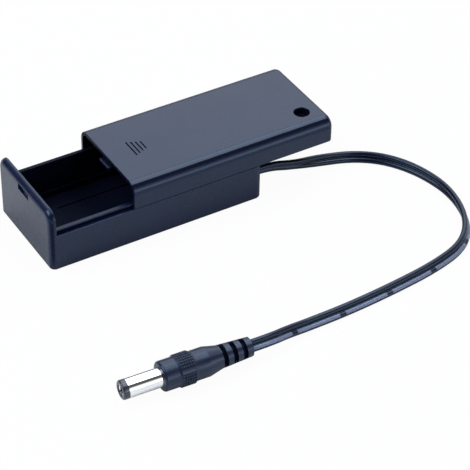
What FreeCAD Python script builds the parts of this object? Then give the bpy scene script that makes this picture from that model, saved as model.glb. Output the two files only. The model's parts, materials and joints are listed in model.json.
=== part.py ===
import FreeCAD, Part
import math
import os
import re
import Sketcher
from FreeCAD import Placement, Rotation, Vector

# A nine volt battery holder: an open tray, a cover that slides off over the tray's rear end,
# snap contacts on a board, a slide switch behind the board, and a lead with a barrel plug.
# Origin at the middle of the tray's outer floor, +Z up. The tall front wall is at -X, the lead
# leaves the rear wall at +X, and the cover stands open as far as sizes["cover_opening"] says.

# Driving sizes, in millimetres and degrees
SIZES = {
    # Case
    "tray_height": 11.9,
    "side_wall": 2.4,
    "front_wall": 2.1,
    "rear_wall": 2.0,
    "floor_thickness": 1.2,
    "corner_radius": 2.1,
    "front_rim_radius": 1.8,
    "bottom_radius": 0.7,
    "edge_radius": 0.25,
    # Rails along the tray's side walls, and the play between them and the cover
    "rail_neck": 0.65,
    "rail_neck_height": 0.8,
    "rail_flange": 0.5,
    "rail_flange_height": 0.5,
    "sliding_play": 0.2,
    # Cover
    "cover_top": 1.1,
    "cover_wall": 1.05,
    "cover_edge_radius": 3.45,
    "cover_rear_wall": 1.5,
    "cover_rear_radius": 1.8,
    "cover_opening": 24.55,
    # Grip grooves on the cover
    "groove_first": 8.0,
    "groove_pitch": 1.3,
    "groove_width": 0.45,
    "groove_depth": 0.45,
    "groove_longest": 7.05,
    "groove_step": 1.05,
    # Screw that locks the closed cover: its hole in the cover and its boss in the tray
    "screw_inset": 6.75,
    "screw_side_inset": 5.1,
    "counterbore_diameter": 4.7,
    "counterbore_depth": 2.1,
    "screw_clearance": 2.6,
    "cover_boss": 6.6,
    "tray_boss": 4.8,
    "pilot_diameter": 1.8,
    "pilot_depth": 8.0,
    # Latch tab under the cover's front edge, and its slot in the front wall
    "latch_width": 5.4,
    "latch_thickness": 1.0,
    "latch_reach": 1.15,
    "latch_drop": 0.8,
    "latch_stem": 0.8,
    "latch_side_play": 0.6,
    "latch_play": 0.5,
    # Battery, its play, and what guides it in the tray
    "battery_length": 46.4,
    "battery_width": 26.5,
    "battery_height": 17.5,
    "battery_play": 1.3,
    "battery_side_play": 0.25,
    "battery_top_play": 0.2,
    "ledge_width": 0.6,
    "ledge_height": 2.0,
    "panel_start": 13.85,
    "panel_length": 35.0,
    "panel_width": 15.6,
    "panel_depth": 0.4,
    # Contact board and its ribs
    "snap_standoff": 3.3,
    "board_thickness": 1.6,
    "board_height": 14.0,
    "board_play": 0.2,
    "board_rib": 1.0,
    "board_rib_reach": 1.2,
    # Snap contacts
    "snap_pitch": 12.7,
    "snap_flange_radius": 3.95,
    "snap_metal": 0.4,
    "stud_radius": 2.9,
    "stud_height": 2.9,
    "socket_height": 3.1,
    "socket_slot": 0.7,
    "rivet_radius": 1.2,
    "rivet_head_radius": 1.95,
    "rivet_head": 0.4,
    "rivet_play": 0.05,
    "tag_radius": 2.5,
    "tag_width": 2.2,
    "tag_length": 5.2,
    # Slide switch on the tray's floor, in the room behind the board
    "wiring_room": 12.8,
    "switch_inset": 6.35,
    "switch_offset": 3.4,
    "switch_length": 10.4,
    "switch_width": 5.6,
    "switch_height": 4.2,
    "switch_metal": 0.4,
    "switch_ear": 2.8,
    "switch_ear_width": 3.4,
    "switch_post": 1.5,
    "switch_post_play": 0.1,
    "switch_base": 0.8,
    "terminal_pitch": 3.0,
    "terminal_width": 1.5,
    "terminal_thickness": 0.4,
    "terminal_rise": 2.8,
    "terminal_contact": 1.1,
    "knob_travel": 2.5,
    "knob_length": 3.0,
    "knob_width": 2.6,
    "knob_inset": 0.25,
    "knob_play": 0.3,
    "carriage_length": 5.0,
    "carriage_width": 3.8,
    "carriage_height": 1.9,
    "carriage_play": 0.15,
    "wiper_thickness": 0.3,
    "dish_length": 12.0,
    "dish_width": 6.6,
    "dish_depth": 0.5,
    # Lead, its hole, and the wires it splits into
    "lead_hole": 4.2,
    "lead_side_inset": 1.6,
    "lead_height": 7.2,
    "lead_start": 1.75,
    "lead_straight": 6.5,
    "plug_straight": 6.6,
    "lead_diameter": 3.2,
    "wire_diameter": 1.75,
    "wire_pitch": 1.85,
    "wire_rise": 1.4,
    "wire_loop": 3.4,
    "wire_slack": 2.4,
    "solder_radius": 1.0,
    "solder_height": 0.9,
    # Plug, lying on the floor: its tip, its heading, and its pieces along its axis
    "plug_x": -43.47,
    "plug_y": -73.41,
    "plug_z": 4.45,
    "plug_heading": -3.26,
    "tip_ring_radius": 2.75,
    "tip_ring_length": 1.7,
    "sleeve_radius": 2.75,
    "sleeve_wall": 0.4,
    "sleeve_root_radius": 2.55,
    "sleeve_length": 11.2,
    "contact_radius": 1.7,
    "contact_bore": 1.05,
    "contact_setback": 0.25,
    "grip_start": 11.5,
    "grip_front_length": 4.3,
    "grip_front_radius": 4.25,
    "grip_band_length": 5.2,
    "grip_band_radius": 4.45,
    "grip_band_slope": 0.6,
    "grip_rear_length": 4.0,
    "grip_rear_radius": 4.2,
    "grip_taper_length": 3.9,
    "grip_rim_radius": 0.7,
    "relief_start_radius": 3.3,
    "relief_end_radius": 2.75,
    "relief_length": 9.35,
    "relief_slot_first": 0.2,
    "relief_slot_pitch": 3.0,
    "relief_slot_width": 1.4,
    "relief_core_radius": 1.9,
    "relief_web": 1.3,
    "relief_roll": -43.0,
}

# Overall sizes that follow from the battery and what surrounds it
OVERALL = {
    "case_length": "front_wall + battery_play + battery_length + snap_standoff + board_thickness"
    " + wiring_room + rear_wall",
    "case_width": "battery_width + 2 * (battery_side_play + ledge_width + side_wall)",
    "case_height": "floor_thickness + battery_height + battery_top_play + cover_top",
}

# Places that several pieces share, as expressions of the driving sizes
HALF_LENGTH = "case_length / 2"
HALF_WIDTH = "case_width / 2"
BAY_FRONT = "(-case_length / 2 + front_wall)"
BAY_REAR = "(case_length / 2 - rear_wall)"
BAY_SIDE = "(case_width / 2 - side_wall)"
NECK_SIDE = "(case_width / 2 - side_wall + rail_neck)"
RAIL_BASE = "(tray_height + rail_neck_height)"
COVER_BASE = "(tray_height + sliding_play)"
COVER_FRONT = "(-case_length / 2 + front_wall + sliding_play + cover_opening)"
COVER_LENGTH = "(case_length - front_wall - sliding_play)"
COVER_SIDE = "(case_width / 2 - cover_wall)"
COVER_UNDER = "(case_height - cover_top)"
SCREW_CLOSED = "(case_length / 2 - screw_inset)"
SCREW_SIDE = "(-case_width / 2 + side_wall + screw_side_inset)"
LEAD_SIDE = "(-case_width / 2 + side_wall + lead_side_inset)"
LATCH_TOP = "(case_height - cover_top - latch_drop)"
BOARD_FACE = "(-case_length / 2 + front_wall + battery_play + battery_length + snap_standoff)"
BOARD_BACK = f"({BOARD_FACE} + board_thickness)"
SNAP_SIDE = "(snap_pitch / 2)"
SNAP_LEVEL = "(floor_thickness + battery_height / 2)"
TAG_BACK = f"({BOARD_BACK} + snap_metal)"
TAG_END = "(snap_pitch / 2 + tag_length - tag_width / 2)"
SWITCH_X = "(case_length / 2 - rear_wall - switch_inset)"
SWITCH_TOP = "(floor_thickness + switch_height)"
TERMINAL_TOP = "(floor_thickness + switch_height + switch_base + terminal_rise)"
CARRIAGE_BASE = "(floor_thickness + switch_metal + carriage_play)"

doc = FreeCAD.newDocument("nine_volt_battery_holder")
sheet = doc.addObject("Spreadsheet::Sheet", "Sizes")
overall = doc.addObject("Spreadsheet::Sheet", "Overall")
pieces = []


# Sizes and expressions
def fill_sheets():
    """One row for each size: its name, then its number or formula, which the name is the alias of."""
    for row, (name, number) in enumerate(SIZES.items(), start=1):
        sheet.set(f"A{row}", name)
        sheet.set(f"B{row}", str(number))
        sheet.setAlias(f"B{row}", name)
    for row, (name, expression) in enumerate(OVERALL.items(), start=1):
        overall.set(f"A{row}", name)
        overall.set(f"B{row}", f"={bound(expression)}")
        overall.setAlias(f"B{row}", name)
    doc.recompute()


def size(name):
    """A driving or overall size as a number."""
    return float(overall.get(name) if name in OVERALL else sheet.get(name))


def bound(expression):
    """The expression with each size read from its sheet."""

    def placed(word):
        name = word[0]
        if name in SIZES:
            return f"Sizes.{name}"
        return f"Overall.{name}" if name in OVERALL else name

    return re.sub(r"[a-z_]+", placed, expression)


def bind(thing, **expressions):
    """Bind properties to expressions; a double underscore in a name stands for a dot."""
    for name, expression in expressions.items():
        thing.setExpression(name.replace("__", "."), bound(expression))


def keep(thing, label):
    """List the finished object as a piece of the holder."""
    thing.Label = label
    pieces.append(thing)
    return thing


# Sketches and features of a body
def new_body(name):
    return doc.addObject("PartDesign::Body", name)


def sketch_on(body, name, role, offset=None):
    """A sketch on one of the body's origin planes, moved along the plane's normal by offset."""
    sketch = body.newObject("Sketcher::SketchObject", name)
    plane = next(p for p in body.Origin.OriginFeatures if p.Role == role)
    sketch.AttachmentSupport = (plane, "")
    sketch.MapMode = "FlatFace"
    if offset:
        bind(sketch, AttachmentOffset__Base__z=offset)
    return sketch


def fix_point(sketch, geometry, point, place):
    """Hold a point of the sketch at the two expressions in place, from the sketch's origin."""
    for kind, expression in zip(("DistanceX", "DistanceY"), place):
        index = sketch.addConstraint(Sketcher.Constraint(kind, -1, 1, geometry, point, 1.0))
        sketch.setExpression(f"Constraints[{index}]", bound(expression))


def polygon(sketch, corners):
    """A closed outline of straight lines through the corners, each a pair of expressions."""
    count = len(corners)
    ring = [
        Vector(math.cos(2 * math.pi * k / count), math.sin(2 * math.pi * k / count), 0)
        for k in range(count)
    ]
    lines = [
        sketch.addGeometry(Part.LineSegment(ring[k], ring[(k + 1) % count])) for k in range(count)
    ]
    for k, line in enumerate(lines):
        sketch.addConstraint(
            Sketcher.Constraint("Coincident", line, 2, lines[(k + 1) % count], 1)
        )
        fix_point(sketch, line, 1, corners[k])


def rectangle(sketch, across, up):
    """A rectangle between two expressions across and two up."""
    (left, right), (low, high) = across, up
    polygon(sketch, [(left, low), (right, low), (right, high), (left, high)])


def circle(sketch, centre, diameter):
    index = sketch.addGeometry(Part.Circle(Vector(0, 0, 0), Vector(0, 0, 1), 1.0))
    fix_point(sketch, index, 3, centre)
    constraint = sketch.addConstraint(Sketcher.Constraint("Diameter", index, 2.0))
    sketch.setExpression(f"Constraints[{constraint}]", bound(diameter))


def slab(body, name, kind, sketch, length, reverse=False):
    """A Pad or a Pocket of the sketch."""
    feature = body.newObject(f"PartDesign::{kind}", name)
    feature.Profile = sketch
    bind(feature, Length=length)
    feature.Reversed = reverse
    doc.recompute()
    return feature


def revolve(body, name, kind, sketch, axis):
    """A Revolution or a Groove of the sketch about one of its own axes."""
    feature = body.newObject(f"PartDesign::{kind}", name)
    feature.Profile = sketch
    feature.ReferenceAxis = (sketch, [axis])
    feature.Angle = 360.0
    doc.recompute()
    return feature


def fillet(body, name, base, radius, chosen):
    """Round the edges of base whose bounding box passes the test."""
    edges = [
        f"Edge{k}" for k, edge in enumerate(base.Shape.Edges, start=1) if chosen(edge.BoundBox)
    ]
    feature = body.newObject("PartDesign::Fillet", name)
    feature.Base = (base, edges)
    bind(feature, Radius=radius)
    doc.recompute()
    return feature


def near(a, b):
    return abs(a - b) < 1e-4


# Plain solids and booleans
def block(name, across, along, up):
    """A box between two expressions on each axis."""
    (x0, x1), (y0, y1), (z0, z1) = across, along, up
    box = doc.addObject("Part::Box", name)
    bind(
        box,
        Length=f"({x1}) - ({x0})",
        Width=f"({y1}) - ({y0})",
        Height=f"({z1}) - ({z0})",
        Placement__Base__x=x0,
        Placement__Base__y=y0,
        Placement__Base__z=z0,
    )
    return box


def rod(name, foot, radius, height, top_radius=None, lying=False):
    """A cylinder, or a cone with a top_radius, that stands on foot, or lies along +X from it."""
    solid = doc.addObject("Part::Cone" if top_radius else "Part::Cylinder", name)
    if lying:
        solid.Placement = Placement(Vector(), Rotation(Vector(0, 1, 0), 90))
    if top_radius:
        bind(solid, Radius1=radius, Radius2=top_radius, Height=height)
    else:
        bind(solid, Radius=radius, Height=height)
    x, y, z = foot
    bind(solid, Placement__Base__x=x, Placement__Base__y=y, Placement__Base__z=z)
    return solid


def fused(name, *solids):
    union = doc.addObject("Part::MultiFuse", name)
    union.Shapes = list(solids)
    return union


def cut(name, base, *tools):
    difference = doc.addObject("Part::Cut", name)
    difference.Base = base
    difference.Tool = tools[0] if len(tools) == 1 else fused(f"{name}_tools", *tools)
    return difference


# Tray
def make_tray():
    body = new_body("Tray")
    half_length = size("case_length") / 2
    half_width = size("case_width") / 2

    outline = sketch_on(body, "TrayOutline", "XY_Plane")
    rectangle(outline, (f"-{HALF_LENGTH}", HALF_LENGTH), (f"-{HALF_WIDTH}", HALF_WIDTH))
    base = slab(body, "TrayBlock", "Pad", outline, "tray_height")
    base = fillet(
        body, "RearCorners", base, "corner_radius",
        lambda b: near(b.XMin, half_length) and b.ZLength > 1 and b.YLength < 0.1,
    )

    wall = sketch_on(body, "FrontWallOutline", "YZ_Plane", f"-{HALF_LENGTH}")
    rectangle(wall, (f"-{HALF_WIDTH}", HALF_WIDTH), ("0", "case_height"))
    base = slab(body, "FrontWall", "Pad", wall, "front_wall")
    base = fillet(
        body, "FrontWallShoulders", base, "cover_edge_radius",
        lambda b: near(b.ZMin, size("case_height")) and b.XLength > 1 and b.YLength < 0.1,
    )
    base = fillet(
        body, "FrontRim", base, "front_rim_radius",
        lambda b: near(b.XMax, -half_length) and b.ZMax > 0.1,
    )
    inner_face = size("front_wall") - half_length
    base = fillet(
        body, "UpperEdges", base, "edge_radius",
        lambda b: b.XMin > inner_face - 0.1
        and b.ZMin > size("tray_height") - 0.1
        and not (near(b.XMax, inner_face) and near(b.ZMax, size("tray_height"))),
    )
    base = fillet(
        body, "BottomEdge", base, "bottom_radius",
        lambda b: near(b.ZMax, 0),
    )

    bay = sketch_on(body, "BayOutline", "XY_Plane", "floor_thickness")
    rectangle(bay, (BAY_FRONT, BAY_REAR), (f"-{BAY_SIDE}", BAY_SIDE))
    slab(body, "Bay", "Pocket", bay, "case_height", reverse=True)

    panel = sketch_on(body, "PanelOutline", "XY_Plane", "floor_thickness")
    panel_front = f"(-{HALF_LENGTH} + panel_start)"
    rectangle(
        panel,
        (panel_front, f"{panel_front} + panel_length"),
        ("-panel_width / 2", "panel_width / 2"),
    )
    slab(body, "FloorPanel", "Pocket", panel, "panel_depth")

    # The rails run from the front wall to the rear wall, in a profile seen along X
    rails = sketch_on(body, "RailProfile", "YZ_Plane", BAY_FRONT)
    for side in ("", "-"):
        flange_side = f"{side}({NECK_SIDE} + rail_flange)"
        polygon(
            rails,
            [
                (f"{side}{BAY_SIDE}", "tray_height"),
                (f"{side}{NECK_SIDE}", "tray_height"),
                (f"{side}{NECK_SIDE}", RAIL_BASE),
                (flange_side, RAIL_BASE),
                (flange_side, f"{RAIL_BASE} + rail_flange_height"),
                (f"{side}{BAY_SIDE}", f"{RAIL_BASE} + rail_flange_height"),
            ],
        )
    slab(body, "Rails", "Pad", rails, f"{BAY_REAR} - {BAY_FRONT}")

    # Ledges along both side walls keep the battery in the middle
    ledges = sketch_on(body, "LedgeProfile", "YZ_Plane", BAY_FRONT)
    for side in ("", "-"):
        rectangle(
            ledges,
            (f"{side}({BAY_SIDE} - ledge_width)", f"{side}{BAY_SIDE}"),
            ("floor_thickness", "floor_thickness + ledge_height"),
        )
    slab(body, "Ledges", "Pad", ledges, f"{BOARD_FACE} - board_play - {BAY_FRONT}")

    # Two ribs on each side wall hold the contact board between them
    ribs = sketch_on(body, "BoardRibs", "XY_Plane", "floor_thickness")
    for side in ("", "-"):
        for near_face in (f"{BOARD_FACE} - board_play - board_rib", f"{BOARD_BACK} + board_play"):
            rectangle(
                ribs,
                (near_face, f"{near_face} + board_rib"),
                (f"{side}({BAY_SIDE} - board_rib_reach)", f"{side}{BAY_SIDE}"),
            )
    slab(body, "BoardRibPads", "Pad", ribs, "tray_height - floor_thickness")

    boss = sketch_on(body, "ScrewBossOutline", "XY_Plane", "floor_thickness")
    circle(boss, (SCREW_CLOSED, SCREW_SIDE), "tray_boss")
    slab(body, "ScrewBoss", "Pad", boss, "tray_height - floor_thickness")
    pilot = sketch_on(body, "PilotOutline", "XY_Plane", "tray_height")
    circle(pilot, (SCREW_CLOSED, SCREW_SIDE), "pilot_diameter")
    slab(body, "Pilot", "Pocket", pilot, "pilot_depth")

    slot = sketch_on(body, "LatchSlotOutline", "YZ_Plane", f"-{HALF_LENGTH}")
    slot_side = "(latch_width / 2 + latch_side_play)"
    rectangle(
        slot,
        (f"-{slot_side}", slot_side),
        (f"{LATCH_TOP} - latch_thickness - latch_play", f"{LATCH_TOP} + latch_play"),
    )
    slab(body, "LatchSlot", "Pocket", slot, "front_wall", reverse=True)

    hole = sketch_on(body, "LeadHoleOutline", "YZ_Plane", BAY_REAR)
    circle(hole, (LEAD_SIDE, "lead_height"), "lead_hole")
    slab(body, "LeadHole", "Pocket", hole, "rear_wall", reverse=True)

    dish = sketch_on(body, "DishOutline", "XY_Plane")
    rectangle(
        dish,
        (f"{SWITCH_X} - dish_width / 2", f"{SWITCH_X} + dish_width / 2"),
        ("switch_offset - dish_length / 2", "switch_offset + dish_length / 2"),
    )
    base = slab(body, "FingerDish", "Pocket", dish, "dish_depth", reverse=True)
    base = fillet(
        body, "DishCorners", base, "knob_width / 2",
        lambda b: near(b.ZMin, 0) and near(b.ZMax, size("dish_depth")) and b.XLength < 0.1,
    )
    window = sketch_on(body, "WindowOutline", "XY_Plane")
    rectangle(
        window,
        (f"{SWITCH_X} - knob_width / 2 - knob_play", f"{SWITCH_X} + knob_width / 2 + knob_play"),
        (
            "switch_offset - (knob_length + knob_travel) / 2 - knob_play",
            "switch_offset + (knob_length + knob_travel) / 2 + knob_play",
        ),
    )
    slab(body, "Window", "Pocket", window, "floor_thickness", reverse=True)

    posts = sketch_on(body, "PostOutline", "XY_Plane", "floor_thickness")
    for side in ("+", "-"):
        circle(
            posts, (SWITCH_X, f"switch_offset {side} (switch_length + switch_ear) / 2"),
            "switch_post",
        )
    slab(body, "SwitchPosts", "Pad", posts, "2 * switch_metal")
    keep(body, "tray")


# Sliding cover
def make_cover():
    body = new_body("Cover")
    front = COVER_FRONT
    rear_face = size("case_length") / 2 + size("cover_opening")
    bead_side = f"({NECK_SIDE} + sliding_play)"
    bead_top = f"({RAIL_BASE} - sliding_play / 2)"

    outline = sketch_on(body, "CoverOutline", "YZ_Plane", front)
    rectangle(outline, (f"-{HALF_WIDTH}", HALF_WIDTH), (COVER_BASE, "case_height"))
    base = slab(body, "CoverBlock", "Pad", outline, COVER_LENGTH)
    base = fillet(
        body, "CoverEdges", base, "cover_edge_radius",
        lambda b: near(b.ZMin, size("case_height")) and b.XLength > 1 and b.YLength < 0.1,
    )
    base = fillet(
        body, "CoverRearEdge", base, "cover_rear_radius",
        lambda b: near(b.XMin, rear_face) and b.ZMax > size("tray_height") + 1,
    )

    # The hollow is open in front and below, with a bead along each side wall's foot
    hollow = sketch_on(body, "CoverHollow", "YZ_Plane", front)
    right = [
        (bead_side, COVER_BASE),
        (bead_side, bead_top),
        (COVER_SIDE, bead_top),
        (COVER_SIDE, COVER_UNDER),
    ]
    left = [(f"-{across}", up) for across, up in reversed(right)]
    polygon(hollow, right + left)
    base = slab(
        body, "Hollow", "Pocket", hollow, f"{COVER_LENGTH} - cover_rear_wall", reverse=True
    )
    base = fillet(
        body, "CoverInnerEdges", base, "cover_edge_radius - cover_wall",
        lambda b: near(b.ZMax, size("case_height") - size("cover_top"))
        and b.XLength > 1
        and near(b.ZMin, b.ZMax)
        and b.YLength < 0.1,
    )
    front_face = rear_face - size("case_length") + size("front_wall") + size("sliding_play")
    half_width = size("case_width") / 2
    fillet(
        body, "CoverFrontEdge", base, "edge_radius",
        lambda b: near(b.XMin, front_face)
        and near(b.XMax, front_face)
        and (near(b.ZMax, size("case_height")) or near(max(b.YMax, -b.YMin), half_width))
        and (b.ZLength > 1 or near(b.ZMin, size("case_height"))),
    )

    grooves = sketch_on(body, "GripGrooves", "XY_Plane", "case_height")
    for index in range(4):
        middle = f"{front} + groove_first + {index} * groove_pitch"
        half = f"(groove_longest - {index} * groove_step) / 2"
        rectangle(
            grooves,
            (f"{middle} - groove_width / 2", f"{middle} + groove_width / 2"),
            (f"-{half}", half),
        )
    slab(body, "Grooves", "Pocket", grooves, "groove_depth")

    screw_x = f"{SCREW_CLOSED} + cover_opening"
    boss = sketch_on(body, "CoverBossOutline", "XY_Plane", f"{COVER_BASE} + sliding_play")
    circle(boss, (screw_x, SCREW_SIDE), "cover_boss")
    slab(body, "CoverBoss", "Pad", boss, f"{COVER_UNDER} + cover_top / 2 - {COVER_BASE} - sliding_play")
    bore = sketch_on(body, "ScrewBoreOutline", "XY_Plane", "case_height")
    circle(bore, (screw_x, SCREW_SIDE), "screw_clearance")
    slab(body, "ScrewBore", "Pocket", bore, "case_height")
    counterbore = sketch_on(body, "CounterboreOutline", "XY_Plane", "case_height")
    circle(counterbore, (screw_x, SCREW_SIDE), "counterbore_diameter")
    base = slab(body, "Counterbore", "Pocket", counterbore, "counterbore_depth")
    fillet(
        body, "CounterboreEdge", base, "edge_radius",
        lambda b: near(b.ZMin, size("case_height")) and near(b.XLength, size("counterbore_diameter")),
    )

    latch = sketch_on(body, "LatchProfile", "XZ_Plane", "-latch_width / 2")
    polygon(
        latch,
        [
            (f"{front} + latch_stem + sliding_play", f"{COVER_UNDER} + cover_top / 2"),
            (f"{front} + sliding_play", f"{COVER_UNDER} + cover_top / 2"),
            (f"{front} + sliding_play", LATCH_TOP),
            (f"{front} - latch_reach", LATCH_TOP),
            (f"{front} - latch_reach", f"{LATCH_TOP} - latch_thickness"),
            (f"{front} + latch_stem + sliding_play", f"{LATCH_TOP} - latch_thickness"),
        ],
    )
    base = slab(body, "Latch", "Pad", latch, "latch_width")
    nose = front_face - size("latch_reach")
    fillet(
        body, "LatchNose", base, "latch_thickness / 3",
        lambda b: near(b.XMin, nose) and near(b.XMax, nose),
    )
    keep(body, "sliding_cover")


# Contact board with its two snap contacts
def make_board():
    plate = block(
        "BoardPlate",
        (BOARD_FACE, BOARD_BACK),
        (f"-({BAY_SIDE} - board_play)", f"{BAY_SIDE} - board_play"),
        ("floor_thickness", "floor_thickness + board_height"),
    )
    holes = [
        rod(
            f"BoardHole{index}", (BOARD_FACE, f"{side}{SNAP_SIDE}", SNAP_LEVEL),
            "rivet_radius + rivet_play", "board_thickness", lying=True,
        )
        for index, side in enumerate(("", "-"))
    ]
    keep(cut("BoardCut", plate, *holes), "contact_board")


def face_battery(body, side):
    """Turn a body made about +Z to point at the battery from the board's face."""
    body.Placement = Placement(Vector(), Rotation(Vector(0, 1, 0), -90))
    bind(
        body,
        Placement__Base__x=BOARD_FACE,
        Placement__Base__y=f"{side}{SNAP_SIDE}",
        Placement__Base__z=SNAP_LEVEL,
    )


def make_stud():
    """The male snap: a hollow button on a flange."""
    body = new_body("Stud")
    profile = sketch_on(body, "StudProfile", "XZ_Plane")
    hole = "rivet_radius + rivet_play"
    polygon(
        profile,
        [
            (hole, "0"),
            ("snap_flange_radius", "0"),
            ("snap_flange_radius", "snap_metal"),
            ("stud_radius - 0.6 * snap_metal", "snap_metal"),
            ("stud_radius - 0.6 * snap_metal", "0.4 * stud_height"),
            ("stud_radius", "0.65 * stud_height"),
            ("stud_radius", "0.85 * stud_height"),
            ("stud_radius - snap_metal", "stud_height"),
            ("0", "stud_height"),
            ("0", "stud_height - snap_metal"),
            ("stud_radius - 2 * snap_metal", "stud_height - snap_metal"),
            ("stud_radius - 1.6 * snap_metal", "snap_metal"),
            (hole, "snap_metal"),
        ],
    )
    revolve(body, "StudTurn", "Revolution", profile, "V_Axis")
    face_battery(body, "-")
    keep(body, "snap_stud")


def make_socket():
    """The female snap: a waisted ring of spring petals on a flange."""
    body = new_body("Socket")
    profile = sketch_on(body, "SocketProfile", "XZ_Plane")
    hole = "rivet_radius + rivet_play"
    inner = "(stud_radius + 1.25 * snap_metal)"
    polygon(
        profile,
        [
            (hole, "0"),
            ("snap_flange_radius", "0"),
            ("snap_flange_radius", "1.5 * snap_metal"),
            (f"{inner} - 0.75 * snap_metal + snap_metal", "0.6 * socket_height"),
            (f"{inner} + snap_metal", "socket_height"),
            (inner, "socket_height"),
            (f"{inner} - 0.75 * snap_metal", "0.6 * socket_height"),
            (inner, "snap_metal"),
            (hole, "snap_metal"),
        ],
    )
    revolve(body, "SocketTurn", "Revolution", profile, "V_Axis")
    slot = sketch_on(body, "PetalSlotOutline", "XY_Plane", "2 * snap_metal")
    rectangle(slot, ("0", "2 * snap_flange_radius"), ("-socket_slot / 2", "socket_slot / 2"))
    cutter = slab(body, "PetalSlot", "Pocket", slot, "socket_height", reverse=True)
    petals = body.newObject("PartDesign::PolarPattern", "Petals")
    petals.Originals = [cutter]
    petals.Axis = (slot, ["N_Axis"])
    petals.Angle = 360.0
    petals.Occurrences = 6
    body.Tip = petals
    doc.recompute()
    face_battery(body, "")
    keep(body, "snap_socket")


def make_rivet(label, side):
    """Through the snap's flange, the board and the solder tag, with a head at each end."""
    body = new_body(label.title().replace("_", ""))
    profile = sketch_on(body, f"{body.Name}Profile", "XZ_Plane")
    back = "(board_thickness + snap_metal)"
    polygon(
        profile,
        [
            ("0", "snap_metal + rivet_head"),
            ("rivet_head_radius - rivet_head / 2", "snap_metal + rivet_head"),
            ("rivet_head_radius", "snap_metal"),
            ("rivet_radius", "snap_metal"),
            ("rivet_radius", f"-{back}"),
            ("rivet_head_radius", f"-{back}"),
            ("rivet_head_radius - rivet_head / 2", f"-{back} - rivet_head"),
            ("0", f"-{back} - rivet_head"),
        ],
    )
    revolve(body, f"{body.Name}Turn", "Revolution", profile, "V_Axis")
    face_battery(body, side)
    keep(body, label)


def make_solder_tag(label, side):
    """A ring under the rivet's rear head, with a tail out to the wire."""
    ring = rod(
        f"{label}_ring", (BOARD_BACK, f"{side}{SNAP_SIDE}", SNAP_LEVEL), "tag_radius",
        "snap_metal", lying=True,
    )
    ends = (SNAP_SIDE, "snap_pitch / 2 + tag_length")
    if side:
        ends = tuple(f"-({end})" for end in reversed(ends))
    tail = block(
        f"{label}_tail", (BOARD_BACK, TAG_BACK), ends,
        (f"{SNAP_LEVEL} - tag_width / 2", f"{SNAP_LEVEL} + tag_width / 2"),
    )
    hole = rod(
        f"{label}_hole", (BOARD_BACK, f"{side}{SNAP_SIDE}", SNAP_LEVEL),
        "rivet_radius + rivet_play", "snap_metal", lying=True,
    )
    keep(cut(f"{label}_cut", fused(f"{label}_blank", ring, tail), hole), label)


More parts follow.
